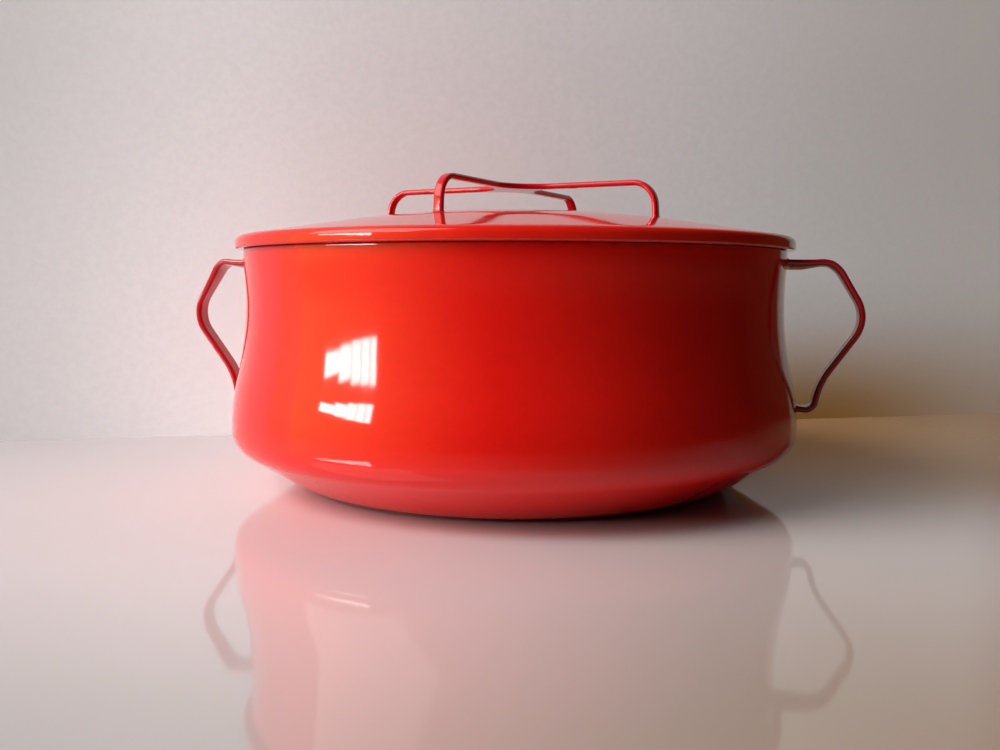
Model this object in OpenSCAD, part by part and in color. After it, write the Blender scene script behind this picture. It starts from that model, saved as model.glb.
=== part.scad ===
// Enamelled sheet-steel casserole: a deep-drawn pan with two strap handles and a
// domed lid. The lid carries a four-legged cross, stamped and bent in one piece, which
// is its handle and the foot it stands on when it is turned over as a trivet.
// Origin: centre of the base ring, on the table. +X through the right handle, +Z up.

/* [Pan] */
// Outside diameter at the rim
mouth_d = 241.2; // [180:0.2:300]
// Height of the pan without its lid
pan_h = 103.5; // [80:0.5:140]
// How far the belly stands out beyond the rim
belly_out = 6; // [3:0.5:12]
// Height of the belly, the widest place, above the table
belly_z = 26; // [20:1:36]
// How far the flat standing ring lies inside the belly
base_in = 41; // [36:0.2:56]
// How far the waist is drawn in from the rim
waist_in = 0.8; // [0.2:0.1:3]
// Height of the rim above the waist
waist_drop = 21.4; // [15:0.1:30]
// Bend between the standing ring and the slanted underside
base_bend = 33; // [10:1:38]
// Bend between the slanted underside and the wall
shoulder_bend = 6.5; // [5:0.5:14]
// Width of the flat standing ring
base_ring_w = 6; // [4:0.5:12]
// Width of the step from the standing ring to the raised centre of the base
base_step = 3; // [2:0.5:6]
// How far the centre of the base is raised off the table
base_lift = 0.8; // [0.4:0.1:2]
// Rounding of the rim's edges
lip = 0.4; // [0.2:0.05:0.5]
// Steel sheet with its outside enamel
sheet = 1.3; // [0.9:0.1:2]
// White enamel on the inside faces
lining = 0.35; // [0.2:0.05:0.6]

/* [Side handles] */
// Width of the strap at the grip
strap_w = 8.8; // [6:0.1:12]
// Thickness of the strap
strap_t = 2.7; // [2:0.1:3.6]
// Width of the strap where it is welded under the rim
root_w = 23; // [15:0.5:34]
// Height above the grip's bend where the strap starts to widen
flare_rise = 5; // [0:0.5:12]
// Depth of the thumb dish in the widened end
dish_drop = 2.1; // [0.8:0.1:3]
// Top face of the strap below the rim
arm_drop = 2.9; // [2:0.1:8]
// How far the grip stands out beyond the belly
grip_out = 29.5; // [24:0.1:34]
// How far the upper corner stands out beyond the belly
corner_out = 14.1; // [10:0.1:18]
// How far down from the arm to the foot the grip bends, as a share of that height
grip_share = 0.378; // [0.3:0.002:0.44]
// How far the knee above the foot stands out beyond the belly
knee_out = 9.3; // [8.8:0.1:12]
// How far up from the foot to the arm the knee bends, as a share of that height
knee_share = 0.187; // [0.17:0.001:0.24]
// How far the bend of the foot stands out beyond the belly
foot_out = 7; // [5.8:0.1:7.6]
// Height of the foot above the belly
foot_rise = 8.1; // [4:0.1:12]
// How much the foot climbs where it turns in to the wall
foot_climb = 1.5; // [0:0.1:3]
// Bend of the upper corner
corner_bend = 10; // [5:0.5:12]
// Bend of the grip
grip_bend = 15.2; // [8:0.1:17]
// Bend of the knee, tightened where the foot's bend leaves less room
knee_bend = 33; // [15:1:50]
// Bend of the foot
foot_bend = 4.4; // [3:0.1:4.8]

/* [Lid] */
// How far the rolled edge stands out beyond the rim
lid_over = 3.4; // [2:0.1:6]
// Height of the rolled edge
hem_h = 5.6; // [4.6:0.1:8]
// Rounding of the rolled edge's shoulder
hem_top_r = 2.9; // [2:0.1:3.4]
// Rounding of the rolled edge's lower corner
hem_low_r = 1; // [0.6:0.1:1.2]
// Height of the crown above the underside of the rolled edge
crown_h = 18.1; // [13:0.1:30]
// Radius of the crown's curve, as a share of one that runs on to the rolled edge
crown_share = 0.925; // [0.5:0.005:0.98]
// Depth of the locating ring below the rolled edge
ring_drop = 6; // [3:0.5:12]
// Thickness of the locating ring
ring_t = 1.2; // [0.8:0.1:1.6]

/* [Lid handle] */
// Distance between opposite legs, centre to centre
leg_span = 133; // [90:1:170]
// Height of the flat top above the crown
bar_rise = 12.2; // [11:0.1:24]
// Width of an arm of the cross
bar_w = 4.6; // [3:0.1:8]
// Thickness of the cross
bar_t = 2.5; // [2:0.1:4]
// How far each leg leans out on its way down to the lid
leg_splay = 1; // [0:0.1:3]
// Bend from the flat top to the leg
leg_bend = 10; // [5:0.1:11]
// Radius of the four inner corners of the cross
cross_fillet = 18; // [6:0.5:24]
// How far the cross is turned from the side handles, in degrees
cross_turn = -18; // [-90:1:90]

/* [Fits and welds] */
// Gap between the rim of the pan and the lid that lies on it
seat_gap = 0.3; // [0.1:0.1:0.6]
// Gap between the locating ring and the inside of the pan
ring_gap = 0.6; // [0.5:0.1:2]
// Gap that the enamel fills between a welded piece and the sheet under it
weld_gap = 0.1; // [0.05:0.05:0.3]
// How far a weld spreads around the piece that it holds
weld_leg = 1; // [0.8:0.1:2]

/* [Hidden] */
$fn = 180;

// Largest gap between an arc of an outline and the straight pieces that draw it
smooth = 0.03;
// Largest turn between two of those pieces, in degrees
step = 12;
// How far a shape that cuts another runs past it
past = 8;
// How far two stretches of one strap run into each other
lap = 0.5;

// Pan
mouth_r = mouth_d / 2;
belly_r = mouth_r + belly_out;
waist_r = mouth_r - waist_in;
base_r = belly_r - base_in;
waist_z = pan_h - waist_drop;

// Side handles
arm_z = pan_h - arm_drop - strap_t / 2;
foot_z = belly_z + foot_rise;
grip_z = arm_z - grip_share * (arm_z - foot_z);
knee_z = foot_z + knee_share * (arm_z - foot_z);

// Lid
lid_r = mouth_r + lid_over;
lid_z = pan_h + seat_gap;
crown_z = lid_z + crown_h;
hem_in = lid_r - hem_top_r;
hem_down = crown_h - hem_h + hem_top_r;
crown_curve = crown_share * (hem_in * hem_in + hem_down * hem_down - hem_top_r * hem_top_r)
              / (2 * (hem_down - hem_top_r));
ring_r = mouth_r - sheet - lining - ring_gap;
bar_top = crown_z + bar_rise;

// ---- outlines ----

// Points along an arc about [cx, cz] from angle a0 to angle a1
function arc(cx, cz, r, a0, a1) =
    let (n = ceil(abs(a1 - a0) / min(step, 2 * acos(1 - smooth / r))))
    [for (i = [0 : n])
        let (a = a0 + (a1 - a0) * i / n)
        [cx + r * cos(a), cz + r * sin(a)]];

// The same points from last to first
function back(list) = [for (i = [len(list) - 1 : -1 : 0]) list[i]];

// Lean of the line that is tangent to two convex arcs, from centre to centre [dx, dz]
function tangent_lean(dx, dz, r1, r2) = atan2(dz, dx) + asin((r1 - r2) / norm([dx, dz]));

// Slope of the slanted underside, between the standing ring and the shoulder
under_slope = tangent_lean(belly_r - shoulder_bend - base_r, belly_z - base_bend,
                           base_bend, shoulder_bend);

// Radius of two equal arcs that step sideways by dx over a height dz
function step_bend(dx, dz) = (dx * dx + dz * dz) / (4 * dx);

// The wall draws in from the belly to the waist, then widens to the rim
wall_bend = step_bend(belly_r - waist_r, waist_z - belly_z);
wall_lean = asin((waist_z - belly_z) / (2 * wall_bend));
rim_bend = step_bend(waist_in, waist_drop);
rim_lean = asin(waist_drop / (2 * rim_bend));

// Wall of the pan from the centre of the base to the rim, moved inward by o
function pan_path(o) = concat(
    [[0, base_lift + o],
     [base_r - base_ring_w - base_step, base_lift + o],
     [base_r - base_ring_w, o]],
    arc(base_r, base_bend, base_bend - o, -90, under_slope - 90),
    arc(belly_r - shoulder_bend, belly_z, shoulder_bend - o, under_slope - 90, 0),
    arc(belly_r - wall_bend, belly_z, wall_bend - o, 0, wall_lean),
    arc(waist_r + wall_bend, waist_z, wall_bend + o, 180 + wall_lean, 180),
    arc(waist_r + rim_bend, waist_z, rim_bend + o, 180, 180 - rim_lean),
    arc(mouth_r - rim_bend, pan_h, rim_bend - o, -rim_lean, -asin(lip / rim_bend)));

// Flank of the lid, tangent to its crown and to its rolled edge
flank = tangent_lean(hem_in, hem_down - crown_curve, crown_curve, hem_top_r);

// Crown of the lid from the centre to the flank, moved inward by o
function crown_path(o) = arc(0, crown_z - crown_curve, crown_curve - o, 90, 90 - flank);

// Height of the lid's face at radius r, moved inward by o
function lid_face(r, o) =
    r < (crown_curve - o) * sin(flank)
    ? crown_z - crown_curve + sqrt(pow(crown_curve - o, 2) - r * r)
    : ((crown_z - crown_curve) * cos(flank) + crown_curve - o - r * sin(flank)) / cos(flank);

// ---- solids that other pieces are cut to ----

// Everything inside the outer face of the pan, grown outward by g
module pan_mass(g) {
    rotate_extrude()
        polygon(concat(pan_path(-g), [[mouth_r + g, pan_h], [0, pan_h]]));
}

// Everything under the outer face of the lid out to the legs, grown upward by g
module lid_mass(g) {
    edge = leg_span / 2 + past;
    rotate_extrude()
        polygon(concat(crown_path(-g), [[edge, lid_face(edge, -g)], [edge, lid_z], [0, lid_z]]));
}

// ---- bent flat bar ----

// Direction from point i to the next
function along(p, i) = (p[i + 1] - p[i]) / norm(p[i + 1] - p[i]);

// The same direction turned a quarter to the left
function aside(p, i) = [-along(p, i)[1], along(p, i)[0]];

// Turn at point i, positive to the left
function turn(p, i) = atan2(along(p, i) * aside(p, i - 1), along(p, i) * along(p, i - 1));

// One side of the bar's path, s to its left, round the bend at point i
function bend_arc(p, r, s, i) =
    let (hand = sign(turn(p, i)))
    let (start = p[i] - r[i] * tan(abs(turn(p, i)) / 2) * along(p, i - 1))
    let (centre = start + hand * r[i] * aside(p, i - 1))
    let (a = atan2(start[1] - centre[1], start[0] - centre[0]))
    arc(centre[0], centre[1], r[i] - hand * s, a, a + turn(p, i));

// That side through all the points p, with the bend radius r[i] at point i
function bar_side(p, r, s) = concat(
    [p[0] + s * aside(p, 0)],
    [for (i = [1 : len(p) - 2]) each bend_arc(p, r, s, i)],
    [p[len(p) - 1] + s * aside(p, len(p) - 2)]);

// A flat bar w wide and t thick, bent through the points p, [x, z] each
module bent_bar(p, r, w, t) {
    rotate([90, 0, 0])
        linear_extrude(w, center = true)
            polygon(concat(bar_side(p, r, t / 2), back(bar_side(p, r, -t / 2))));
}

// ---- pan ----

module pan() {
    color([0.78, 0.06, 0.04])
        rotate_extrude()
            polygon(concat(pan_path(0),
                           [[mouth_r - lip, pan_h], [mouth_r - sheet + lip, pan_h]],
                           back(pan_path(sheet))));
}

module pan_lining() {
    color([0.95, 0.94, 0.9])
        rotate_extrude()
            polygon(concat(pan_path(sheet), back(pan_path(sheet + lining))));
}

// ---- side handles ----

// Corners of the strap, from the upper corner round the grip to the foot on the wall
strap_corners = [[belly_r + corner_out, arm_z],
                 [belly_r + grip_out, grip_z],
                 [belly_r + knee_out, knee_z],
                 [belly_r + foot_out, foot_z],
                 [belly_r - past / 2, foot_z + foot_climb]];

// The thumb dish ends where the upper corner starts to bend
corner_run = corner_bend * tan(atan2(arm_z - grip_z, grip_out - corner_out) / 2);
dish_end = belly_r + corner_out - corner_run;
dish_len = dish_end - mouth_r;
dish_bend = pow(root_w / 2, 2) / (2 * dish_drop);
dish_tilt = atan(dish_drop / dish_len);

// The strap widens from the grip up round the corner to its weld. Its sides are drawn
// as they look from above and outside, at flare_view degrees, u along the strap.
flare_view = 45;
flare_u0 = mouth_r * cos(flare_view) - arm_z * sin(flare_view);
flare_z = grip_z + flare_rise;
flare_x = belly_r + grip_out - flare_rise * (grip_out - corner_out) / (arm_z - grip_z);
flare_len = flare_x * cos(flare_view) - flare_z * sin(flare_view) - flare_u0;
flare_extra = (root_w - strap_w) / 2;
flare_bend = (pow(flare_len, 2) + pow(flare_extra, 2)) / (2 * flare_extra);
flare_turn = asin(flare_len / flare_bend);

strap_path = concat([[dish_end - lap, arm_z]], strap_corners);

// How much of the strap a bend of radius r takes up on each side of corner i
function bend_run(r, i) = r * tan(abs(turn(strap_path, i)) / 2);
knee_room = norm(strap_path[4] - strap_path[3]) - bend_run(foot_bend, 4) - lap / 2;
strap_bends = [0, corner_bend, grip_bend, min(knee_bend, knee_room / bend_run(1, 3)),
               foot_bend, 0];
foot_path = [strap_corners[3], strap_corners[4]];

// One side of the strap in that view, moved outward by g
function strap_side(g) = concat(
    [[-past, root_w / 2 + g]],
    arc(flare_len, strap_w / 2 + flare_bend, flare_bend - g, 270 - flare_turn, 270),
    [[flare_len + pan_h, strap_w / 2 + g]]);

// Everything between the two sides
module between_sides(g) {
    rotate([0, flare_view, 0])
        translate([flare_u0, 0, 0])
            linear_extrude(4 * mouth_r, center = true)
                polygon(concat(strap_side(g),
                               [for (q = back(strap_side(g))) [q[0], -q[1]]]));
}

// The thumb dish: a shallow gutter that dips toward the pan
module dished_end(g = 0) {
    intersection() {
        between_sides(g);
        translate([dish_end, 0, arm_z])
            rotate([0, -dish_tilt, 0])
                translate([-dish_len - past, 0, dish_bend])
                    rotate([0, 90, 0])
                        linear_extrude(dish_len + past)
                            difference() {
                                circle(r = dish_bend + strap_t / 2 + g);
                                circle(r = dish_bend - strap_t / 2 - g);
                            }
    }
}

// One handle, on the +X side
module side_handle() {
    difference() {
        union() {
            dished_end();
            intersection() {
                bent_bar(strap_path, strap_bends, root_w, strap_t);
                between_sides(0);
            }
        }
        pan_mass(weld_gap);
    }
}

module right_handle() {
    color([0.7, 0.04, 0.05])
        side_handle();
}

module left_handle() {
    color([0.7, 0.04, 0.05])
        rotate([0, 0, 180])
            side_handle();
}

// A weld is what lies within weld_leg of the wall and of the piece that it holds
module top_weld() {
    difference() {
        intersection() {
            dished_end(weld_leg);
            pan_mass(weld_gap + weld_leg);
        }
        dished_end();
        pan_mass(weld_gap);
    }
}

module foot_weld() {
    difference() {
        intersection() {
            bent_bar(foot_path, [0, 0], strap_w + 2 * weld_leg, strap_t + 2 * weld_leg);
            pan_mass(weld_gap + weld_leg);
        }
        bent_bar(strap_path, strap_bends, strap_w, strap_t);
        pan_mass(weld_gap);
    }
}

module handle_top_welds() {
    color([0.62, 0.04, 0.05])
        for (a = [0, 180])
            rotate([0, 0, a])
                top_weld();
}

module handle_foot_welds() {
    color([0.62, 0.04, 0.05])
        for (a = [0, 180])
            rotate([0, 0, a])
                foot_weld();
}

// ---- lid ----

// Domed sheet whose edge is rolled down and back under itself
module lid() {
    hem_z = crown_z - hem_down;
    color([0.85, 0.08, 0.04])
        rotate_extrude()
            polygon(concat(
                crown_path(0),
                arc(hem_in, hem_z, hem_top_r, 90 - flank, 0),
                arc(lid_r - hem_low_r, lid_z + hem_low_r, hem_low_r, 0, -90),
                [[ring_r, lid_z], [ring_r, lid_z + sheet], [lid_r - sheet, lid_z + sheet]],
                arc(hem_in, hem_z, hem_top_r - sheet, 0, 90 - flank),
                back(crown_path(sheet))));
}

module lid_lining() {
    edge = ring_r - ring_t;
    color([0.95, 0.94, 0.9])
        rotate_extrude()
            polygon(concat(
                crown_path(sheet),
                [[edge, lid_face(edge, sheet)], [edge, lid_face(edge, sheet + lining)]],
                back(crown_path(sheet + lining))));
}

// Strip welded under the lid, which drops inside the rim and keeps the lid central
module locating_ring() {
    low = lid_z - ring_drop;
    inner = ring_r - ring_t;
    color([0.93, 0.92, 0.88])
        rotate_extrude()
            polygon(concat(
                arc(ring_r - ring_t / 2, low + ring_t / 2, ring_t / 2, -180, 0),
                [[ring_r, lid_face(ring_r, sheet)], [inner, lid_face(inner, sheet)]]));
}

// ---- lid cross ----

leg_x = leg_span / 2;
arm_mid_z = bar_top - bar_t / 2;
leg_end = [leg_x + leg_splay, lid_face(leg_x, bar_t)];

// Two opposite arms and their legs, which run on into the lid
module arm_pair() {
    bent_bar([[-leg_end[0], leg_end[1]], [-leg_x, arm_mid_z], [leg_x, arm_mid_z], leg_end],
             [0, leg_bend, leg_bend, 0], bar_w, bar_t);
}

// The lower part of the leg on the +X side, grown by g
module leg_foot(g) {
    bent_bar([(leg_end + [leg_x, arm_mid_z]) / 2, leg_end - [0, g]], [0, 0],
             bar_w + 2 * g, bar_t + 2 * g);
}

// The four inner corners of the cross, which spread the arms where they meet
module inner_corners() {
    reach = bar_w / 2 + cross_fillet;
    translate([0, 0, bar_top - bar_t])
        linear_extrude(bar_t)
            for (a = [0 : 90 : 270])
                rotate(a)
                    difference() {
                        square(reach);
                        translate([reach, reach])
                            circle(r = cross_fillet);
                    }
}

// The legs end on the face of the lid
module lid_cross() {
    color([0.82, 0.05, 0.05])
        difference() {
            rotate([0, 0, cross_turn]) {
                arm_pair();
                rotate([0, 0, 90])
                    arm_pair();
                inner_corners();
            }
            lid_mass(weld_gap);
        }
}

// Weld round the end of each leg, on the face of the lid
module lid_cross_welds() {
    color([0.75, 0.04, 0.04])
        for (a = [0 : 90 : 270])
            rotate([0, 0, cross_turn + a])
                difference() {
                    intersection() {
                        leg_foot(weld_leg);
                        lid_mass(weld_gap + weld_leg);
                    }
                    leg_foot(0);
                    lid_mass(weld_gap);
                }
}

pan();
pan_lining();
right_handle();
left_handle();
handle_top_welds();
handle_foot_welds();
lid();
lid_lining();
locating_ring();
lid_cross();
lid_cross_welds();
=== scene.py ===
import math

import bmesh
import bpy
from mathutils import Matrix, Vector


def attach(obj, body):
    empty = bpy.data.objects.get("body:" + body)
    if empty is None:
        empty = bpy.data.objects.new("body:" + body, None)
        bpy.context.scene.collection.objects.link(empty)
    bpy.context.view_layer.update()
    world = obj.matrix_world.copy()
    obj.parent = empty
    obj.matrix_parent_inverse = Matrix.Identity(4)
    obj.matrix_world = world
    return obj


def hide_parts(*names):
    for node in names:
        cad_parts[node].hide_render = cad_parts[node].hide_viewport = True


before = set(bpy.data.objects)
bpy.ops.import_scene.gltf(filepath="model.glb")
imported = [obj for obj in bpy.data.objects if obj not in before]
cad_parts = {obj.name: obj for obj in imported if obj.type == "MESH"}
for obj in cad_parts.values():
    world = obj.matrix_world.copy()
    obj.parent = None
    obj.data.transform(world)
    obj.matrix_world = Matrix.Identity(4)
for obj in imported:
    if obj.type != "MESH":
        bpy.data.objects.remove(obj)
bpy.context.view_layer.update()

# ---------------------------------------------------------------------------
# Pan
# One deep-drawn steel pressing, 1.3 mm thick with its enamel. The wall swells to
# a low belly, is drawn in to a waist and widens a little at the rim. It stands
# on a narrow flat ring. Dipped in red glass enamel outside and fired.
# ---------------------------------------------------------------------------

MM = 0.001

mouth_r = 120.6
belly_r = 126.6
waist_r = 119.8
ring_r = 85.6
pan_h = 103.5
belly_z = 26.0
turn_z = 48.5
waist_z = 82.1
base_bend = 32.0
shoulder_bend = 11.0
base_ring_w = 6.0
base_step = 3.0
base_lift = 0.8
sheet = 1.3
lining = 0.35


def arc(cx, cz, r, a0, a1, chord=1.2, turn=4.0):
    """Points on an arc, no further apart than chord in mm or turn in degrees."""
    swing = abs(a1 - a0)
    n = max(2, math.ceil(swing / turn), math.ceil(math.radians(swing) * r / chord))
    angles = [math.radians(a0 + (a1 - a0) * i / n) for i in range(n + 1)]
    return [(cx + r * math.cos(a), cz + r * math.sin(a)) for a in angles]


def lean_between(dx, dz, r1, r2):
    """Lean of the line tangent to two arcs whose centres lie dx, dz apart."""
    return math.degrees(math.atan2(dz, dx) + math.asin((r1 - r2) / math.hypot(dx, dz)))


def step_bend(dx, dz):
    """Radius of two equal arcs that step sideways by dx over a height dz."""
    return (dx * dx + dz * dz) / (4 * dx)


def thinned(points, least=0.02):
    """The points without those that repeat the one before."""
    kept = [points[0]]
    for p in points[1:]:
        if math.dist(p, kept[-1]) > least:
            kept.append(p)
    return kept


under_slope = lean_between(belly_r - shoulder_bend - ring_r, belly_z - base_bend,
                           base_bend, shoulder_bend)
wall_lean = 2 * math.degrees(math.atan((belly_r - waist_r) / (waist_z - belly_z)))
belly_bend = (turn_z - belly_z) / math.sin(math.radians(wall_lean))
waist_bend = (waist_z - turn_z) / math.sin(math.radians(wall_lean))
rim_bend = step_bend(mouth_r - waist_r, pan_h - waist_z)
rim_lean = math.degrees(math.asin((pan_h - waist_z) / (2 * rim_bend)))


def flat_run(x0, x1, z, pitch=6.0):
    """Points along a level stretch, so that its shading stays even."""
    n = max(1, round(abs(x1 - x0) / pitch))
    return [(x0 + (x1 - x0) * i / n, z) for i in range(n + 1)]


def joined(first, second, pitch=1.2):
    """Two runs of points with the straight stretch between them cut up as finely."""
    (x0, z0), (x1, z1) = first[-1], second[0]
    n = max(1, round(math.dist(first[-1], second[0]) / pitch))
    return (first + [(x0 + (x1 - x0) * i / n, z0 + (z1 - z0) * i / n) for i in range(1, n)]
            + second)


def pan_side(o):
    """The wall from the centre of the base to the rim, moved inward by o."""
    step_r = ring_r - base_ring_w
    return thinned(
        flat_run(0, step_r - base_step - 1.0, base_lift + o)
        + [(step_r - base_step, base_lift + o - 0.05), (step_r - base_step / 2, base_lift / 2 + o),
           (step_r, o + 0.04), (step_r + 1.0, o)]
        + flat_run(step_r + 1.5, ring_r, o, 1.5)
        + joined(arc(ring_r, base_bend, base_bend - o, -90, under_slope - 90),
                 arc(belly_r - shoulder_bend, belly_z, shoulder_bend - o, under_slope - 90, 0))
        + arc(belly_r - belly_bend, belly_z, belly_bend - o, 0, wall_lean)
        + arc(waist_r + waist_bend, waist_z, waist_bend + o, 180 + wall_lean, 180)
        + arc(waist_r + rim_bend, waist_z, rim_bend + o, 180, 180 - rim_lean)
        + arc(mouth_r - rim_bend, pan_h, rim_bend - o, -rim_lean, 0))


def wall_radius(z):
    """Outer radius of the pan's wall at height z, from the belly up."""
    if z < turn_z:
        return belly_r - belly_bend + math.sqrt(belly_bend ** 2 - (z - belly_z) ** 2)
    if z < waist_z:
        return waist_r + waist_bend - math.sqrt(waist_bend ** 2 - (z - waist_z) ** 2)
    if z < (waist_z + pan_h) / 2:
        return waist_r + rim_bend - math.sqrt(rim_bend ** 2 - (z - waist_z) ** 2)
    return mouth_r - rim_bend + math.sqrt(rim_bend ** 2 - (pan_h - z) ** 2)


def finished(name, verts, faces, thin=None):
    """An object from points in mm, closed, with its faces turned outward."""
    mesh = bpy.data.meshes.new(name)
    mesh.from_pydata([Vector(v) * MM for v in verts], [], faces)
    mesh.update()
    if thin is not None:
        mark = mesh.attributes.new("thin_coat", "FLOAT", "POINT")
        mark.data.foreach_set("value", thin)
    bm = bmesh.new()
    bm.from_mesh(mesh)
    bmesh.ops.recalc_face_normals(bm, faces=bm.faces)
    big = [f for f in bm.faces if len(f.verts) > 4]
    if big:
        bmesh.ops.triangulate(bm, faces=big)
    bm.to_mesh(mesh)
    bm.free()
    for face in mesh.polygons:
        face.use_smooth = True
    made = bpy.data.objects.new(name, mesh)
    bpy.context.collection.objects.link(made)
    return made


def spun(name, outline, around=288, thin=None):
    """A closed piece spun about the pan's axis from (radius, height) points in mm."""
    closed = outline[0][0] > 1e-6
    verts, faces, marks, rows = [], [], [], []
    for k, (r, z) in enumerate(outline):
        mark = thin[k] if thin else 0.0
        if r < 1e-6:
            rows.append([len(verts)] * around)
            verts.append((0, 0, z))
            marks.append(mark)
            continue
        rows.append(list(range(len(verts), len(verts) + around)))
        for i in range(around):
            a = 2 * math.pi * i / around
            verts.append((r * math.cos(a), r * math.sin(a), z))
            marks.append(mark)
    pairs = list(zip(rows, rows[1:]))
    if closed:
        pairs.append((rows[-1], rows[0]))
    for low, high in pairs:
        for i in range(around):
            j = (i + 1) % around
            ring = [low[i], low[j], high[j], high[i]]
            face = list(dict.fromkeys(ring))
            if len(face) > 2:
                faces.append(face)
    return finished(name, verts, faces, marks)


class Finish:
    """A surface built up node by node, for one kind of coat or metal."""

    def __init__(self, name):
        self.material = bpy.data.materials.new(name)
        self.material.use_nodes = True
        self.tree = self.material.node_tree
        self.tree.nodes.clear()
        self.out = self.node("ShaderNodeOutputMaterial")
        self.skin = self.node("ShaderNodeBsdfPrincipled")
        self.link(self.skin.outputs["BSDF"], self.out.inputs["Surface"])
        self.place = self.node("ShaderNodeTexCoord").outputs["Object"]

    def node(self, kind, **settings):
        made = self.tree.nodes.new(kind)
        for key, value in settings.items():
            setattr(made, key, value)
        return made

    def link(self, source, target):
        self.tree.links.new(source, target)

    def noise(self, size_mm, detail=2.0, rough=0.5, stretch=(1, 1, 1), shift=(0, 0, 0)):
        """Soft noise whose patches are about size_mm across."""
        spread = self.node("ShaderNodeMapping")
        spread.inputs["Scale"].default_value = stretch
        spread.inputs["Location"].default_value = shift
        self.link(self.place, spread.inputs["Vector"])
        made = self.node("ShaderNodeTexNoise")
        made.inputs["Scale"].default_value = 1 / (size_mm * MM)
        made.inputs["Detail"].default_value = detail
        made.inputs["Roughness"].default_value = rough
        self.link(spread.outputs["Vector"], made.inputs["Vector"])
        return made.outputs["Fac"]

    def ramp(self, value, low, high, out_low=0.0, out_high=1.0):
        """Moves value from low..high to out_low..out_high, held at the ends."""
        made = self.node("ShaderNodeMapRange", interpolation_type="SMOOTHSTEP")
        made.inputs["From Min"].default_value = low
        made.inputs["From Max"].default_value = high
        made.inputs["To Min"].default_value = out_low
        made.inputs["To Max"].default_value = out_high
        self.link(value, made.inputs["Value"])
        return made.outputs["Result"]

    def sum(self, a, b, how="ADD"):
        made = self.node("ShaderNodeMath", operation=how)
        for socket, value in zip(made.inputs, (a, b)):
            if isinstance(value, (int, float)):
                socket.default_value = value
            else:
                self.link(value, socket)
        return made.outputs["Value"]

    def mix(self, amount, first, second):
        """Blends two colours, each a socket or an (r, g, b)."""
        made = self.node("ShaderNodeMix", data_type="RGBA")
        self.link(amount, made.inputs["Factor"])
        for socket, value in ((made.inputs["A"], first), (made.inputs["B"], second)):
            if isinstance(value, tuple):
                socket.default_value = (*value, 1)
            else:
                self.link(value, socket)
        return made.outputs["Result"]

    def height(self):
        split = self.node("ShaderNodeSeparateXYZ")
        self.link(self.place, split.inputs["Vector"])
        return split.outputs["Z"]

    def thin_coat(self):
        return self.node("ShaderNodeAttribute", attribute_name="thin_coat").outputs["Fac"]

    def bump(self, layers):
        """Stacks bumps, each a (height socket, depth in mm, strength)."""
        normal = None
        for value, depth, strength in layers:
            made = self.node("ShaderNodeBump")
            made.inputs["Strength"].default_value = strength
            made.inputs["Distance"].default_value = depth * MM
            self.link(value, made.inputs["Height"])
            if normal is not None:
                self.link(normal, made.inputs["Normal"])
            normal = made.outputs["Normal"]
        self.link(normal, self.skin.inputs["Normal"])


def red_enamel(name, full=(0.72, 0.009, 0.006), deep=(0.46, 0.004, 0.004),
               bare=(0.13, 0.004, 0.004), gloss=0.045, shift=0.0):
    """Glossy red glass on steel: pooled and thin patches, dark where it draws
    thin over an edge, faint ripple, pinholes and the fine marks of wiping."""
    coat = Finish(name)
    at = (shift, shift, 0)
    pool = coat.ramp(coat.noise(38, 3, 0.55, shift=at), 0.3, 0.7)
    fine = coat.ramp(coat.noise(3.5, 2, shift=at), 0.35, 0.75, 0, 0.10)
    colour = coat.mix(coat.sum(coat.sum(pool, 0.12, "MULTIPLY"), fine, "ADD"), full, deep)
    specks = coat.ramp(coat.noise(0.8, 1, shift=at), 0.80, 0.84)
    colour = coat.mix(coat.sum(specks, 0.7, "MULTIPLY"), colour, bare)
    edge = coat.sum(coat.thin_coat(), coat.ramp(coat.noise(5, 3, shift=at), 0.3, 0.7, 0.45, 1.0),
                    "MULTIPLY")
    colour = coat.mix(edge, colour, bare)
    coat.link(colour, coat.skin.inputs["Base Color"])
    wiped = coat.ramp(coat.noise(1.4, 4, 0.6, stretch=(1, 1, 7), shift=at), 0.52, 0.72,
                      0, 0.05)
    haze = coat.ramp(coat.noise(26, 3, shift=at), 0.35, 0.7, gloss, gloss + 0.025)
    coat.link(coat.sum(haze, wiped), coat.skin.inputs["Roughness"])
    coat.skin.inputs["IOR"].default_value = 1.53
    coat.bump([(coat.noise(30, 1, shift=at), 0.10, 0.35),
               (coat.noise(6, 2, shift=at), 0.015, 0.35),
               (coat.noise(1.1, 1, shift=at), 0.003, 0.3)])
    return coat.material


skin_in = 0.05
rim_start = pan_h - 0.45
rim_rise = 0.65
outside = [p for p in pan_side(skin_in) if p[1] < rim_start]
inside = [p for p in pan_side(sheet) if p[1] < rim_start]
half = (sheet - skin_in) / 2
rim = [(mouth_r - sheet + half + half * math.cos(a), rim_start + rim_rise * math.sin(a))
       for a in (math.radians(d) for d in range(0, 181, 10))]
shell = joined(outside, rim, 0.3) + inside[::-1]
# the coat is thinnest round the rim, and worn a little on the standing ring
thin = [max(0.0, min(1.0, (z - pan_h + 1.8) / 1.4)) * 0.5 if r > 100 else
        (0.35 if abs(r - ring_r + 3) < 4 and z < 0.3 else 0.0) for r, z in shell]
pan_shell = spun("pan_shell", shell, thin=thin)
pan_shell.data.materials.append(red_enamel("pan_red_enamel"))
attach(pan_shell, "pan")
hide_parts("pan")

# ---------------------------------------------------------------------------
# White enamel inside the pan
# A second coat of glass, 0.35 mm thick, poured and swilled round the inside and
# fired with the red. It ends just under the rim.
# ---------------------------------------------------------------------------


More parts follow.
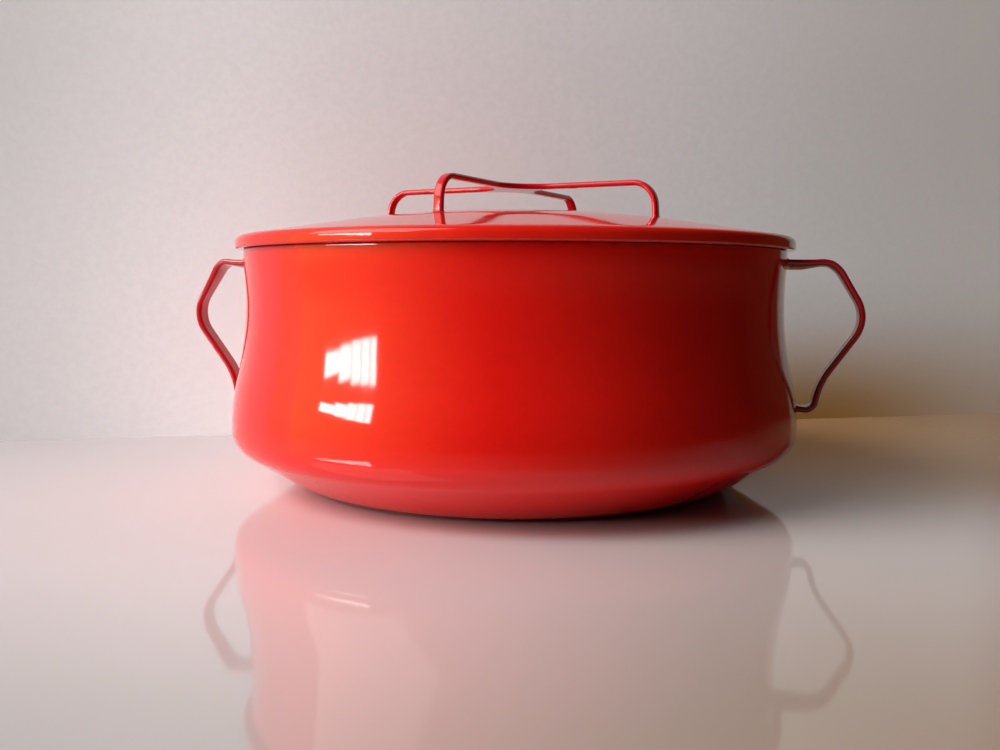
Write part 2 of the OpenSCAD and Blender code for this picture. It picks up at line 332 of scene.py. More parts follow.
def white_enamel(name, low_z, high_z, clean=(0.80, 0.785, 0.72), aged=(0.70, 0.66, 0.55)):
    """Glossy off-white glass: a little yellow where food sits, from low_z up to
    high_z in metres, fine grey spoon marks and a few black pinholes."""
    coat = Finish(name)
    stain = coat.ramp(coat.noise(22, 4, 0.6), 0.35, 0.75)
    depth = coat.ramp(coat.height(), low_z, high_z, 1.0, 0.25)
    colour = coat.mix(coat.sum(stain, depth, "MULTIPLY"), clean, aged)
    spoon = coat.ramp(coat.noise(2.2, 5, 0.7, stretch=(6, 1, 1)), 0.60, 0.72, 0, 0.22)
    colour = coat.mix(spoon, colour, (0.36, 0.36, 0.35))
    specks = coat.ramp(coat.noise(0.9, 1), 0.80, 0.83)
    colour = coat.mix(specks, colour, (0.05, 0.05, 0.05))
    coat.link(colour, coat.skin.inputs["Base Color"])
    coat.link(coat.sum(coat.ramp(coat.noise(18, 3), 0.3, 0.7, 0.07, 0.13),
                       coat.sum(spoon, 0.6, "MULTIPLY")), coat.skin.inputs["Roughness"])
    coat.skin.inputs["IOR"].default_value = 1.53
    coat.bump([(coat.noise(24, 1), 0.10, 0.35), (coat.noise(4, 2), 0.012, 0.35)])
    return coat.material


coat_sunk = 0.02
white_stop = pan_h - 1.2
white_face_stop = pan_h - 1.6
coat_out = [p for p in pan_side(sheet - coat_sunk) if p[1] < white_stop]
coat_in = [p for p in pan_side(sheet + lining) if p[1] < white_face_stop]
pan_white = spun("pan_white_coat", coat_out + coat_in[::-1])
pan_white.data.materials.append(white_enamel("pan_white_enamel", low_z=0.0, high_z=0.05))
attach(pan_white, "pan")
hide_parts("pan_lining")

# ---------------------------------------------------------------------------
# Side handles
# Each is one steel strap, 2.7 mm thick: narrow at the grip, widened and dished into
# a thumb rest where it meets the pan under the rim. Bent to an angular loop, its
# lower end is turned in to the belly. Welded on before the pan is enamelled.
# ---------------------------------------------------------------------------

strap_w = 8.8
strap_t = 2.66
root_w = 23.0
dish_drop = 2.1
arm_z = pan_h - 4.25
grip_z = arm_z - 24.63
foot_z = belly_z + 8.1
knee_z = foot_z + 12.18
strap_corners = [(belly_r + 14.1, arm_z), (belly_r + 29.5, grip_z), (belly_r + 9.3, knee_z),
                 (belly_r + 7.0, foot_z), (belly_r - 0.9, foot_z + 1.08)]
strap_bends = [15.2, 33.0, 4.4]
strap_edge = 1.1
dish_end = strap_corners[0][0] - 5.54
dish_over = 4.0
dish_fade = 12.0
dish_bend = (root_w / 2) ** 2 / (2 * dish_drop)
bow_x = belly_r + 20.0
bow_z = grip_z + 4.0
bow_fade = 8.0
# the strap's edges flare on an arc along a line that slants down at 45 degrees
slant = math.radians(45)
flare_u0 = mouth_r * math.cos(slant) - arm_z * math.sin(slant)
flare_up = 5.0
flare_z = grip_z + flare_up
flare_x = (strap_corners[1][0]
           - flare_up * (strap_corners[1][0] - strap_corners[0][0]) / (arm_z - grip_z))
flare_len = flare_x * math.cos(slant) - flare_z * math.sin(slant) - flare_u0
flare_extra = (root_w - strap_w) / 2
flare_bend = (flare_len ** 2 + flare_extra ** 2) / (2 * flare_extra)


def bent_line(corners, bends, pitch=0.9):
    """Points (x, z, along x, along z) on a line through the corners, rounded by
    the bends, from the first corner to the last."""
    line = []
    cursor = corners[0]
    for i, r in enumerate(bends, start=1):
        (ax, az), (bx, bz), (cx, cz) = corners[i - 1], corners[i], corners[i + 1]
        la, lb = math.hypot(bx - ax, bz - az), math.hypot(cx - bx, cz - bz)
        u, v = ((bx - ax) / la, (bz - az) / la), ((cx - bx) / lb, (cz - bz) / lb)
        swing = math.atan2(u[0] * v[1] - u[1] * v[0], u[0] * v[0] + u[1] * v[1])
        back_off = r * math.tan(abs(swing) / 2)
        start = (bx - back_off * u[0], bz - back_off * u[1])
        run = math.dist(cursor, start)
        n = max(1, math.ceil(run / pitch))
        line += [(cursor[0] + u[0] * run * k / n, cursor[1] + u[1] * run * k / n, *u)
                 for k in range(n)]
        hand = math.copysign(1, swing)
        centre = (start[0] - hand * r * u[1], start[1] + hand * r * u[0])
        a0 = math.atan2(start[1] - centre[1], start[0] - centre[0])
        n = max(2, math.ceil(abs(swing) * r / pitch), math.ceil(abs(swing) / math.radians(7)))
        for k in range(n):
            a = a0 + swing * k / n
            line.append((centre[0] + r * math.cos(a), centre[1] + r * math.sin(a),
                         -hand * math.sin(a), hand * math.cos(a)))
        cursor = (bx + back_off * v[0], bz + back_off * v[1])
    last = corners[-1]
    run = math.dist(cursor, last)
    n = max(1, math.ceil(run / pitch))
    line += [(cursor[0] + v[0] * run * k / n, cursor[1] + v[1] * run * k / n, *v)
             for k in range(n + 1)]
    return line


def round_bar(half_w, half_t, edge, flats=8, corner=6):
    """Points (across, through) round a bar with rounded edges, and how thin the
    coat is at each."""
    ring, mark = [], []
    for sy, sn, a0 in ((1, 1, 90), (1, -1, 0), (-1, -1, -90), (-1, 1, -180)):
        for k in range(corner + 1):
            a = math.radians(a0 - 90 * k / corner)
            ring.append((sy * (half_w - edge) + edge * math.cos(a),
                         sn * (half_t - edge) + edge * math.sin(a)))
            mark.append(0.30 * math.sin(math.pi * k / corner) ** 2)
        if sy == sn:
            continue
        side = -1 if sy > 0 else 1
        for k in range(1, flats):
            ring.append(((half_w - edge) * (1 - 2 * k / flats) * -side, sn * half_t))
            mark.append(0.0)
    return ring, mark


def swept(rings, marks):
    """A closed tube through rings of equally many points, with capped ends."""
    size = len(rings[0])
    verts = [p for ring in rings for p in ring]
    faces = []
    for k in range(len(rings) - 1):
        for i in range(size):
            j = (i + 1) % size
            faces.append((k * size + i, k * size + j, (k + 1) * size + j, (k + 1) * size + i))
    faces.append(tuple(range(size)))
    faces.append(tuple(range(len(verts) - size, len(verts))))
    return verts, faces, [m for ring in marks for m in ring]


def strap_rings(corner_bend):
    """The strap from its widened root to its foot, for the handle on the +X side."""
    line = bent_line([(mouth_r - sheet, arm_z)] + strap_corners, [corner_bend] + strap_bends)
    rings, marks = [], []
    for x, z, tx, tz in line:
        u = x * math.cos(slant) - z * math.sin(slant) - flare_u0
        left = max(0.0, flare_len - u)
        half_w = strap_w / 2 + flare_bend - math.sqrt(flare_bend ** 2 - min(left, flare_len) ** 2)
        fade = min(1.0, left / flare_len)
        if x > bow_x or z < bow_z:
            fade *= max(0.0, min(1.0, (z - grip_z) / bow_fade))
        near_root = max(0.0, min(1.0, (dish_end + dish_over - x) / dish_fade))
        drop = dish_drop * near_root if z > arm_z - 1 else 0.0
        curl = max((1 - (1 - fade) ** 2) / dish_bend, 2 * drop / half_w ** 2)
        ring, mark = round_bar(half_w, strap_t / 2, strap_edge)
        rings.append([(x - tz * (n + curl * y * y / 2 - drop), y,
                       z + tx * (n + curl * y * y / 2 - drop)) for y, n in ring])
        marks.append(mark)
    return rings, marks


def bead(outline, surface, leg, sunk=0.35):
    """A hollow-faced weld bead: outline holds (point, outward) pairs in the plane
    of the surface, and surface(point, height) gives the place above it."""
    ring = [(leg * (1 - math.cos(a)), leg * (1 - math.sin(a)))
            for a in (math.radians(90 * k / 8) for k in range(9))]
    ring += [(leg + 0.25, -sunk), (-sunk, -sunk), (-sunk, leg * 0.7)]
    verts, faces = [], []
    for (p, q), (away_p, away_q) in outline:
        for out, up in ring:
            verts.append(surface((p + out * away_p, q + out * away_q), up))
    n, m = len(outline), len(ring)
    for i in range(n):
        for k in range(m):
            j, l = (i + 1) % n, (k + 1) % m
            faces.append((i * m + k, j * m + k, j * m + l, i * m + l))
    return verts, faces


def outward(points):
    """Each point of a closed outline with its outward direction."""
    area = sum(a[0] * b[1] - b[0] * a[1] for a, b in zip(points, points[1:] + points[:1]))
    hand = 1 if area > 0 else -1
    pairs = []
    for i, p in enumerate(points):
        a, b = points[i - 1], points[(i + 1) % len(points)]
        run = math.hypot(b[0] - a[0], b[1] - a[1])
        pairs.append((p, (hand * (b[1] - a[1]) / run, -hand * (b[0] - a[0]) / run)))
    return pairs


def on_wall(point, up):
    """The place above a point (across, height) of the pan's wall, on the +X side."""
    y, z = point
    return (math.sqrt(wall_radius(z) ** 2 - y * y) + up, y, z)


# painted shade: the handles and their welds take a darker, bluer copy of the pan's red enamel, for
# the shade the pan throws on the handles
shaded_handle_enamel = red_enamel("handle_red_enamel_painted_shade", full=(0.44, 0.007, 0.018),
                           deep=(0.30, 0.004, 0.012), gloss=0.06, shift=0.3)
shaded_weld_enamel = red_enamel("weld_red_enamel_painted_shade", full=(0.44, 0.007, 0.014),
                         deep=(0.28, 0.004, 0.008), gloss=0.07, shift=0.5)


def turned_about(verts, side):
    """The points as they are for side 1, or turned half round the pan for side -1."""
    return [(side * x, side * y, z) for x, y, z in verts]


# bent by hand over a block, so the upper corner of the right one is a little rounder
for side, name, corner_bend in ((1, "right", 12.5), (-1, "left", 8.0)):
    strap, strap_marks = strap_rings(corner_bend)
    verts, faces, marks = swept([turned_about(ring, side) for ring in strap], strap_marks)
    handle = finished(name + "_strap_handle", verts, faces, marks)
    handle.data.materials.append(shaded_handle_enamel)
    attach(handle, "pan")
    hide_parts(name + "_handle")

# both straps begin and end alike, so the last one gives the outlines of the beads
root_line = outward([(p[1], p[2]) for p in strap[0]])
foot_line = outward([(p[1], p[2]) for p in strap[-1]])
for node, line, leg in (("handle_top_welds", root_line, 1.2),
                        ("handle_foot_welds", foot_line, 0.95)):
    verts, faces = [], []
    for side in (1, -1):
        more, more_faces = bead(line, on_wall, leg)
        faces += [tuple(i + len(verts) for i in f) for f in more_faces]
        verts += turned_about(more, side)
    weld = finished(node.replace("welds", "beads"), verts, faces)
    weld.data.materials.append(shaded_weld_enamel)
    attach(weld, "pan")
    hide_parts(node)

# ---------------------------------------------------------------------------
# Lid
# One shallow dome pressed from sheet, its edge rolled down and back under. It
# lies on the pan's rim. Red enamel outside and over the rolled edge.
# ---------------------------------------------------------------------------

lid_r = 124.0
lid_z = pan_h + 0.3
crown_z = lid_z + 18.1
crown_curve = 551.1
hem_h = 5.6
hem_top_r = 2.9
hem_low_r = 1.0
guide_r = mouth_r - sheet - lining - 0.6
guide_t = 1.2
flank = lean_between(lid_r - hem_top_r, crown_z - crown_curve - lid_z - hem_h + hem_top_r,
                     crown_curve, hem_top_r)


def crown(o):
    """The dome from the middle out to the straight flank, moved inward by o."""
    return arc(0, crown_z - crown_curve, crown_curve - o, 90, 90 - flank, chord=3.0)


def lid_height(r, o=0.0):
    """Height of the lid's upper face at radius r, or of that face moved inward by o."""
    lean = math.radians(flank)
    if r < (crown_curve - o) * math.sin(lean):
        return crown_z - crown_curve + math.sqrt((crown_curve - o) ** 2 - r * r)
    return crown_z - crown_curve + (crown_curve - o - r * math.sin(lean)) / math.cos(lean)


def flank_run(o, r0, r1):
    """Points down the straight flank."""
    n = max(1, round((r1 - r0) / 3))
    return [(r0 + (r1 - r0) * k / n, lid_height(r0 + (r1 - r0) * k / n, o)) for k in range(1, n)]


hem_z = lid_z + hem_h - hem_top_r
flank_start = crown_curve * math.sin(math.radians(flank))
flank_stop = lid_r - hem_top_r + hem_top_r * math.sin(math.radians(flank))
lid_outline = thinned(
    [(0.0, crown_z)] + crown(0)[1:] + flank_run(0, flank_start, flank_stop)
    + arc(lid_r - hem_top_r, hem_z, hem_top_r, 90 - flank, 0, chord=0.3)
    + arc(lid_r - hem_low_r, lid_z + hem_low_r, hem_low_r, 0, -90, chord=0.2)
    + flat_run(lid_r - hem_low_r - 0.5, guide_r, lid_z, 1.0)
    + [(guide_r, lid_z + sheet), (lid_r - sheet - 0.5, lid_z + sheet)]
    + arc(lid_r - hem_top_r, hem_z, hem_top_r - sheet, 0, 90 - flank, chord=0.5)
    + crown(sheet)[:0:-1] + [(0.0, crown_z - sheet)])
lid_thin = [0.35 * max(0.0, 1 - abs(z - lid_z - 0.3) / 1.1) if r > lid_r - 2.2 else 0.0
            for r, z in lid_outline]
lid_dome = spun("lid_dome", lid_outline, thin=lid_thin)
lid_dome.data.materials.append(red_enamel("lid_red_enamel", full=(0.74, 0.014, 0.007), shift=0.7))
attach(lid_dome, "lid")
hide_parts("lid")

# ---------------------------------------------------------------------------
# White enamel under the lid, and the locating ring
# The coat covers the hollow of the dome. The ring is a strip of steel bent round
# and welded under the dome; it drops inside the pan and is enamelled white too.
# ---------------------------------------------------------------------------

guide_in = guide_r - guide_t
under_top = [p for p in crown(sheet - coat_sunk) if p[0] < guide_in]
under_low = [p for p in crown(sheet + lining) if p[0] < guide_in]
under_outline = (under_top + flank_run(sheet - coat_sunk, under_top[-1][0], guide_in)
                 + [(guide_in + 0.1, lid_height(guide_in, sheet)),
                    (guide_in + 0.1, lid_height(guide_in, sheet + lining))]
                 + flank_run(sheet + lining, under_low[-1][0], guide_in)[::-1] + under_low[::-1])
under_outline = [(max(r, 0.0), z) for r, z in thinned(under_outline)]
lid_white = spun("lid_white_coat", under_outline)
lid_white.data.materials.append(white_enamel("lid_white_enamel", low_z=0.10, high_z=0.13))
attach(lid_white, "lid")
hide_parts("lid_lining")

guide_low = lid_z - 6.0
guide_outline = (
    [(guide_r, lid_height(guide_r, sheet)), (guide_r, lid_z)]
    + [(guide_r, guide_low + 0.6 + (lid_z - guide_low - 0.6) * k / 4) for k in (3, 2, 1)]
    + arc(guide_r - guide_t / 2, guide_low + guide_t / 2, guide_t / 2, 0, -180, chord=0.2)
    + [(guide_in, guide_low + 2), (guide_in, guide_low + 5),
       (guide_in, lid_height(guide_in, sheet))])
guide = spun("locating_hoop", guide_outline,
             thin=[0.5 if z < guide_low + 0.7 else 0.0 for r, z in guide_outline])
guide.data.materials.append(white_enamel("hoop_white_enamel", low_z=0.09, high_z=0.11))
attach(guide, "lid")
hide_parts("locating_ring")

# ---------------------------------------------------------------------------
# Lid cross
# Handle and trivet in one: a four-armed blank stamped from 2.5 mm steel with its
# edges rolled round, the arms bent down to four legs. Its top is flat, so that the
# lid stands on it upside down. The ends of the legs are welded to the dome.
# ---------------------------------------------------------------------------

arm_w = 4.6
arm_t = 2.5
leg_x = 66.5
cross_top = crown_z + 12.2
cross_turn = math.radians(-18)
inner_corner = 18.0
edge_r = arm_t / 2 - 0.02
edge_steps = 8
mid_z = cross_top - arm_t / 2
leg_end = (leg_x + 1.0, lid_height(leg_x + 1.0) - 0.6)
reach = arm_w / 2 + inner_corner


def half_round(hand):
    """Points (across, up) round one edge of an arm, from top to bottom."""
    flat = arm_w / 2 - edge_r
    return [(hand * (flat + edge_r * math.cos(a)), edge_r * math.sin(a))
            for a in (math.pi / 2 - math.pi * k / edge_steps for k in range(edge_steps + 1))]


def spin(point, angle):
    """A point turned about the pan's axis."""
    x, y, z = point
    c, s = math.cos(angle), math.sin(angle)
    return (c * x - s * y, s * x + c * y, z)


cross_verts, cross_faces = [], []
arm_line = bent_line([(reach, mid_z), (leg_x, mid_z), leg_end], [10.0], pitch=1.0)
section = half_round(1) + half_round(-1)[::-1]
for quarter in range(4):
    angle = quarter * math.pi / 2
    rings = [[spin((x - tz * up, across, z + tx * up), angle) for across, up in section]
             for x, z, tx, tz in arm_line]
    start = len(cross_verts)
    size = len(section)
    cross_verts += [p for ring in rings for p in ring]
    for k in range(len(rings) - 1):
        for i in range(size):
            j = (i + 1) % size
            cross_faces.append((start + k * size + i, start + k * size + j,
                                start + (k + 1) * size + j, start + (k + 1) * size + i))
    cross_faces.append(tuple(range(len(cross_verts) - size, len(cross_verts))))

# the four inner corners, each a rounded edge swept round a quarter circle
corner_steps = 18
top_loop, low_loop = [], []
for quarter in range(4):
    angle = quarter * math.pi / 2
    strip = []
    for k in range(corner_steps + 1):
        a = math.pi / 2 * k / corner_steps
        nx, ny = math.sin(a), math.cos(a)
        ex, ey = reach - (inner_corner + edge_r) * nx, reach - (inner_corner + edge_r) * ny
        strip.append([spin((ex + edge_r * math.cos(b) * nx, ey + edge_r * math.cos(b) * ny,
                            mid_z + edge_r * math.sin(b)), angle)
                      for b in (math.pi / 2 - math.pi * m / edge_steps
                                for m in range(edge_steps + 1))])
    start = len(cross_verts)
    cross_verts += [p for row in strip for p in row]
    row = edge_steps + 1
    for k in range(corner_steps):
        for m in range(edge_steps):
            cross_faces.append((start + k * row + m, start + k * row + m + 1,
                                start + (k + 1) * row + m + 1, start + (k + 1) * row + m))
    top_loop += [start + k * row for k in range(corner_steps + 1)]
    low_loop += [start + k * row + edge_steps for k in range(corner_steps + 1)]
cross_faces += [tuple(top_loop), tuple(low_loop)]

cross_mesh = bpy.data.meshes.new("lid_cross_bars")
cross_mesh.from_pydata([Vector(spin(v, cross_turn)) * MM for v in cross_verts], [], cross_faces)
bm = bmesh.new()
bm.from_mesh(cross_mesh)
bmesh.ops.remove_doubles(bm, verts=bm.verts, dist=0.01 * MM)
bmesh.ops.triangulate(bm, faces=[f for f in bm.faces if len(f.verts) > 4])
bmesh.ops.recalc_face_normals(bm, faces=bm.faces)
bm.to_mesh(cross_mesh)
bm.free()
for face in cross_mesh.polygons:
    face.use_smooth = True
cross = bpy.data.objects.new("lid_cross_bars", cross_mesh)
bpy.context.collection.objects.link(cross)
even = cross.modifiers.new("even_shading", "WEIGHTED_NORMAL")
even.weight = 100
cross.data.materials.append(red_enamel("cross_red_enamel", full=(0.56, 0.009, 0.022),
                                       deep=(0.38, 0.004, 0.014), gloss=0.05, shift=1.1))
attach(cross, "lid")
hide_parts("lid_cross")


def on_lid(point, up):
    """The place above a point of the dome."""
    x, y = point
    return (x, y, lid_height(math.hypot(x, y)) + up)


foot_leg = 0.9
leg_outline = [(leg_end[0] - up, across) for across, up in section]
verts, faces = [], []
for quarter in range(4):
    angle = quarter * math.pi / 2 + cross_turn
    more, more_faces = bead(outward(leg_outline), on_lid, foot_leg)
    faces += [tuple(i + len(verts) for i in f) for f in more_faces]
    verts += [spin(p, angle) for p in more]
feet = finished("lid_foot_beads", verts, faces)
# painted shade: the foot beads take the same darker red as the handle welds
feet.data.materials.append(shaded_weld_enamel)
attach(feet, "lid")
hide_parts("lid_cross_welds")

# ---------------------------------------------------------------------------
# Table, wall, light and camera
# A pale glazed table against a pale wall in a room with a five-pane window at the
# left. The window side lights wall, table and pan; the right end lies in shade.
# ---------------------------------------------------------------------------


def plane(name, corners):
    """A flat part of the surroundings, from its corners in metres."""
    mesh = bpy.data.meshes.new(name)
    mesh.from_pydata([Vector(c) for c in corners], [], [tuple(range(len(corners)))])
    made = bpy.data.objects.new(name, mesh)
    bpy.context.collection.objects.link(made)
    return made


reach_m = 4.0
table_top = plane("table_top", [(-reach_m, -reach_m, 0), (reach_m, -reach_m, 0),
                                (reach_m, reach_m, 0), (-reach_m, reach_m, 0)])
glaze = Finish("pale_glaze")
tone = glaze.mix(glaze.ramp(glaze.noise(300, 3), 0.3, 0.7),
                 (0.70, 0.64, 0.64), (0.66, 0.61, 0.61))
spot = glaze.node("ShaderNodeSeparateXYZ")
glaze.link(glaze.place, spot.inputs["Vector"])
from_centre = glaze.node("ShaderNodeVectorMath", operation="LENGTH")
glaze.link(glaze.place, from_centre.inputs[0])
# painted shade: darker at the front edge, and a painted warm shadow at the right and behind on the
# right
tone = glaze.mix(glaze.ramp(spot.outputs["Y"], -0.34, -0.16, 1, 0), tone, (0.44, 0.41, 0.39))
right_painted_shadow = glaze.sum(glaze.ramp(spot.outputs["X"], -0.02, 0.13),
                      glaze.ramp(spot.outputs["Y"], -0.28, -0.10, 0.7, 0.25), "MULTIPLY")
tone = glaze.mix(right_painted_shadow, tone, (0.30, 0.19, 0.10))
back_painted_shadow = glaze.sum(glaze.ramp(spot.outputs["X"], 0.02, 0.13),
                     glaze.ramp(spot.outputs["Y"], -0.06, 0.06, 0, 0.75), "MULTIPLY")
warm_shade = glaze.mix(glaze.ramp(spot.outputs["X"], 0.14, 0.28),
                       (0.74, 0.40, 0.13), (0.44, 0.25, 0.08))
tone = glaze.mix(back_painted_shadow, tone, warm_shade)
# what the table throws back on the pan: bright under it and at the left
ray = glaze.node("ShaderNodeLightPath")
in_sight = glaze.sum(ray.outputs["Is Camera Ray"], ray.outputs["Is Glossy Ray"], "MAXIMUM")
lit = glaze.mix(glaze.ramp(spot.outputs["X"], -0.06, 0.15),
                (0.92, 0.88, 0.87), (0.20, 0.18, 0.17))
lit = glaze.mix(glaze.ramp(from_centre.outputs["Value"], 0.12, 0.20, 0.8, 0),
                lit, (0.98, 0.92, 0.91))
# the pan mirrors the far parts of the table dark
far_off = glaze.sum(ray.outputs["Is Glossy Ray"],
                    glaze.ramp(from_centre.outputs["Value"], 0.4, 0.9), "MULTIPLY")
tone = glaze.mix(far_off, tone, (0.30, 0.14, 0.08))
tone = glaze.mix(in_sight, lit, tone)
glaze.link(tone, glaze.skin.inputs["Base Color"])
glaze.skin.inputs["Roughness"].default_value = 0.05
glaze.skin.inputs["IOR"].default_value = 1.95
glaze.bump([(glaze.noise(60, 1), 0.08, 0.2)])
table_top.data.materials.append(glaze.material)

wall_turn = math.radians(22.1)
wall_gap = 0.16
wall_ends = (-0.8, reach_m)
wall_height = Vector((0, 0, 3))
wall_along = Vector((math.cos(wall_turn), math.sin(wall_turn), 0))
wall_foot = Vector((-math.sin(wall_turn), math.cos(wall_turn), 0)) * wall_gap
left_end, right_end = (wall_foot + end * wall_along for end in wall_ends)
wall = plane("wall", [left_end, right_end, right_end + wall_height, left_end + wall_height])
paint = Finish("wall_paint")
tone = paint.mix(paint.ramp(paint.noise(4, 4, 0.6), 0.3, 0.7),
                 (0.87, 0.89, 0.93), (0.82, 0.84, 0.88))
spot = paint.node("ShaderNodeSeparateXYZ")
turned = paint.node("ShaderNodeVectorRotate", rotation_type="Z_AXIS")
turned.inputs["Angle"].default_value = -wall_turn
paint.link(paint.place, turned.inputs["Vector"])
paint.link(turned.outputs["Vector"], spot.inputs["Vector"])
# painted shade: darker at both ends and higher up
tone = paint.mix(paint.ramp(spot.outputs["X"], -0.30, -0.10, 0.50, 0), tone, (0.0, 0.0, 0.0))
tone = paint.mix(paint.ramp(spot.outputs["X"], 0.10, 0.37, 0, 0.6), tone, (0.58, 0.51, 0.46))
tone = paint.mix(paint.ramp(spot.outputs["Z"], 0.07, 0.23, 0, 0.14), tone, (0.0, 0.0, 0.0))
# the pan mirrors the left end of the wall warm
ray = paint.node("ShaderNodeLightPath")
warm = paint.sum(ray.outputs["Is Glossy Ray"], paint.ramp(spot.outputs["X"], -0.50, -0.36, 1, 0),
                 "MULTIPLY")
tone = paint.mix(warm, tone, (0.60, 0.43, 0.14))
# a painted brown shadow low on the wall beside the pan
brown_painted_shadow = paint.sum(paint.ramp(spot.outputs["X"], 0.0, 0.2),
                    paint.ramp(spot.outputs["X"], 0.25, 0.40, 1, 0.55), "MULTIPLY")
brown_painted_shadow = paint.sum(brown_painted_shadow, paint.ramp(spot.outputs["Z"], 0.0, 0.085, 1, 0), "MULTIPLY")
tone = paint.mix(brown_painted_shadow, tone, (0.72, 0.37, 0.10))
# the pan mirrors the unlit right end, which lies out of sight
unlit = paint.sum(ray.outputs["Is Glossy Ray"], paint.ramp(spot.outputs["X"], 0.36, 0.44),
                  "MULTIPLY")
tone = paint.mix(unlit, tone, (0.42, 0.10, 0.03))
paint.link(tone, paint.skin.inputs["Base Color"])
in_sight = paint.sum(ray.outputs["Is Camera Ray"], ray.outputs["Is Glossy Ray"], "MAXIMUM")
# painted light: the wall glows for the camera and in reflections, a little less to the right, and
# not in the painted shadow or the unlit end
paint.skin.inputs["Emission Color"].default_value = (1, 0.93, 0.86, 1)
glow = paint.sum(in_sight, paint.ramp(spot.outputs["X"], -0.25, 0.30, 0.19, 0.135), "MULTIPLY")
shaded = paint.sum(brown_painted_shadow, unlit, "MAXIMUM")
glow = paint.sum(glow, paint.sum(1.0, shaded, "SUBTRACT"), "MULTIPLY")
paint.link(glow, paint.skin.inputs["Emission Strength"])
paint.skin.inputs["Roughness"].default_value = 0.7
paint.bump([(paint.noise(2.5, 3), 0.25, 0.3)])
# the camera sees through the wall from behind
clear = paint.node("ShaderNodeBsdfTransparent")
choose = paint.node("ShaderNodeMixShader")
from_behind = paint.sum(paint.node("ShaderNodeNewGeometry").outputs["Backfacing"],
                        ray.outputs["Is Camera Ray"], "MULTIPLY")
paint.link(from_behind, choose.inputs["Fac"])
paint.link(paint.skin.outputs["BSDF"], choose.inputs[1])
paint.link(clear.outputs["BSDF"], choose.inputs[2])
paint.link(choose.outputs["Shader"], paint.out.inputs["Surface"])
wall.data.materials.append(paint.material)


def soft_light(name, place, aim, size, power, colour):
    """A rectangular lamp, size in metres and power in watts."""
    lamp = bpy.data.lights.new(name, "AREA")
    lamp.shape = "RECTANGLE"
    lamp.size, lamp.size_y = size
    lamp.energy = power
    lamp.color = colour
    made = bpy.data.objects.new(name, lamp)
    made.location = place
    made.rotation_euler = (Vector(aim) - Vector(place)).to_track_quat("-Z", "Y").to_euler()
    bpy.context.collection.objects.link(made)


def around(azimuth, elevation, distance):
    """The offset to a place that far away, azimuth and elevation in degrees."""
    a, e = math.radians(azimuth), math.radians(elevation)
    return Vector((math.cos(a) * math.cos(e), math.sin(a) * math.cos(e), math.sin(e))) * distance


centre = Vector((0, 0, 0.06))
window_away = 1.2
room_away = 1.6
for name, azimuth, elevation, size, power in (
        ("pane_1", -153.6, 8.0, (0.145, 0.066), 0.62),
        ("pane_2", -147.3, 8.4, (0.112, 0.104), 0.78),
        ("pane_3", -142.4, 8.7, (0.082, 0.134), 0.75),
        ("pane_4", -138.3, 8.9, (0.076, 0.150), 0.78),
        ("pane_5", -134.9, 9.1, (0.052, 0.160), 0.57)):
    soft_light(name, centre + around(azimuth, elevation, window_away), centre, size, power,
               (1, 0.99, 0.98))
soft_light("room", centre + around(-144, 38, room_away), centre, (1.3, 1.1), 14,
           (1, 0.97, 0.96))

# the room is light on the window side and dark across from it: a soft beam for what is
# lit, a broad warm glow for what mirrors it, and plain white where the camera sees it
world = bpy.data.worlds.new("room_light")
bpy.context.scene.world = world
world.use_nodes = True
nodes, links = world.node_tree.nodes, world.node_tree.links
nodes.clear()
aim = nodes.new("ShaderNodeTexCoord")
path = nodes.new("ShaderNodeLightPath")


def room_math(operation, source, *values):
    """A maths node in the world, its first input linked and the others set."""
    made = nodes.new("ShaderNodeMath")
    made.operation = operation
    links.new(source, made.inputs[0])
    for socket, value in zip(made.inputs[1:], values):
        socket.default_value = value
    return made.outputs["Value"]


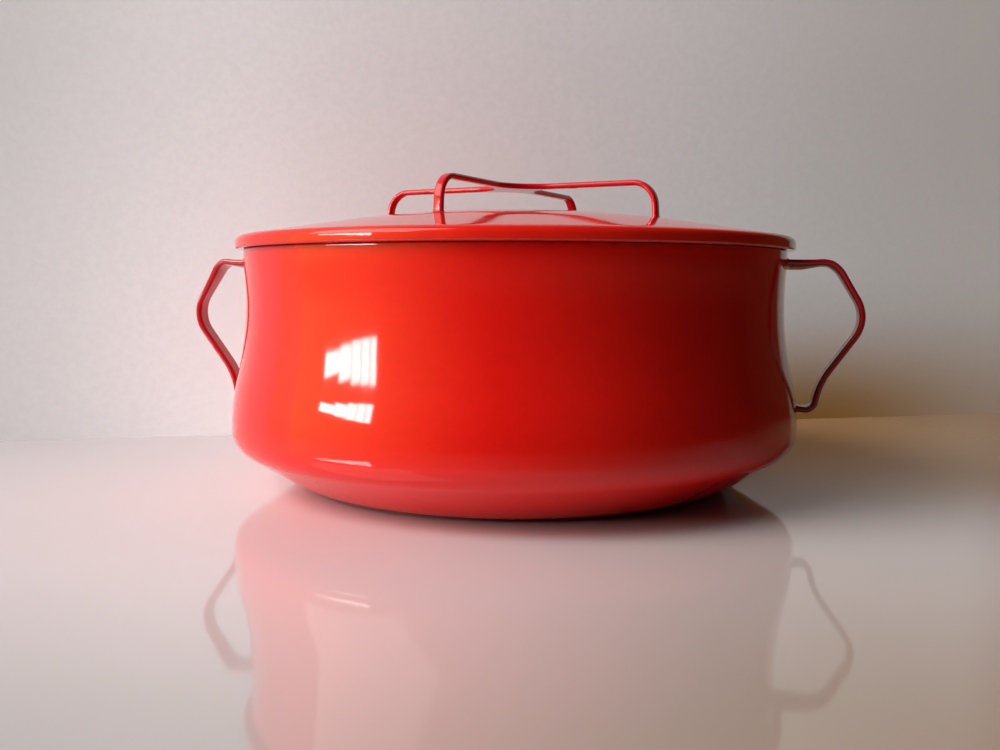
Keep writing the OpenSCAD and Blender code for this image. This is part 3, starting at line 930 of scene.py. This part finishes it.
def toward(azimuth, elevation):
    """How nearly a direction points there: 1 straight at it, 0 square to it."""
    made = nodes.new("ShaderNodeVectorMath")
    made.operation = "DOT_PRODUCT"
    made.inputs[1].default_value = around(azimuth, elevation, 1.0)
    links.new(aim.outputs["Generated"], made.inputs[0])
    return made.outputs["Value"]


def room_colour(colour, strength=None):
    """An even colour for the room, at full strength or as strong as a socket says."""
    made = nodes.new("ShaderNodeBackground")
    made.inputs["Color"].default_value = (*colour, 1)
    if strength is not None:
        links.new(strength, made.inputs["Strength"])
    return made.outputs["Background"]


def choice(amount, first, second):
    """The second colour where amount is 1, else the first."""
    made = nodes.new("ShaderNodeMixShader")
    links.new(amount, made.inputs["Fac"])
    links.new(first, made.inputs[1])
    links.new(second, made.inputs[2])
    return made.outputs["Shader"]


beam = room_math("POWER", room_math("MAXIMUM", toward(-155, 36), 0.0), 26.0)
fill = room_colour((1.0, 0.97, 0.96), room_math("MULTIPLY_ADD", beam, 12.4, 0.018))
glow_side = room_math("POWER", room_math("MAXIMUM", toward(-165, 12), 0.22), 3.0)
mirrored = room_colour((1.5, 1.2, 0.42), glow_side)
seen = room_colour((1, 1, 1))
sky = nodes.new("ShaderNodeOutputWorld")
links.new(choice(path.outputs["Is Camera Ray"],
                 choice(path.outputs["Is Glossy Ray"], fill, mirrored), seen),
          sky.inputs["Surface"])

bpy.context.scene.view_settings.view_transform = "Standard"

# in front of the pan, a little to the right and level with its handles, looking slightly down
camera_place = (0.0706, -0.4633, 0.0889)
camera_turn = math.radians(9.44)
pitch = 0.0885
roll = 0.0037
level = Vector((math.cos(camera_turn), math.sin(camera_turn), 0))
ahead = Vector((-math.sin(camera_turn) * math.cos(pitch), math.cos(camera_turn) * math.cos(pitch),
                -math.sin(pitch)))
above = level.cross(ahead)
right = level * math.cos(roll) + above * math.sin(roll)
up = above * math.cos(roll) - level * math.sin(roll)
lens = bpy.data.cameras.new("camera")
lens.sensor_width = 36
lens.lens = 36.58
lens.clip_start = 0.01
camera = bpy.data.objects.new("camera", lens)
turn = Matrix((right, up, -ahead)).transposed().to_4x4()
camera.matrix_world = Matrix.Translation(camera_place) @ turn
bpy.context.collection.objects.link(camera)
bpy.context.scene.camera = camera
